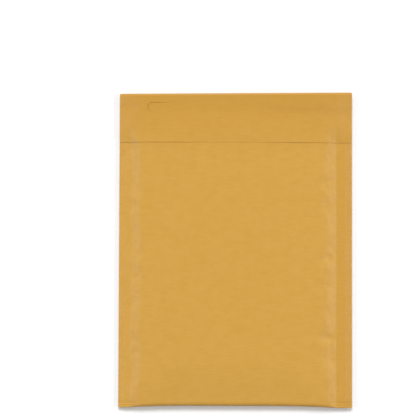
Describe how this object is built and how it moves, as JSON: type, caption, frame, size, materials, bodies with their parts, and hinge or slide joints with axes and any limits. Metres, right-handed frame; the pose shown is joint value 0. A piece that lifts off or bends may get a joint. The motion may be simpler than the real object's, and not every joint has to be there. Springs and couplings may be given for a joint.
{
  "type": "padded envelope",
  "caption": "Flat kraft mailing envelope lined with bubble film, lying on its back with its glued-strip flap folded shut over the front panel.",
  "frame": {"origin": "middle of the envelope's bounding box, on the plane that its back panel lies on", "axes": "+X across the envelope to the wider seam, +Y along it from the bottom fold to the fold of the flap, +Z out of the front panel"},
  "size_m": [0.2262, 0.3064, 0.0113],
  "materials": {
    "kraft_paper": "satin golden kraft",
    "bubble_film": "clear film",
    "adhesive": "tacky",
    "release_paper": "siliconed"
  },
  "bodies": {
    "root": {"kraft_paper": "kraft_paper", "bubble_lining": "bubble_film", "adhesive_strip": "adhesive", "release_liner": "release_paper"}
  },
  "joints": []
}
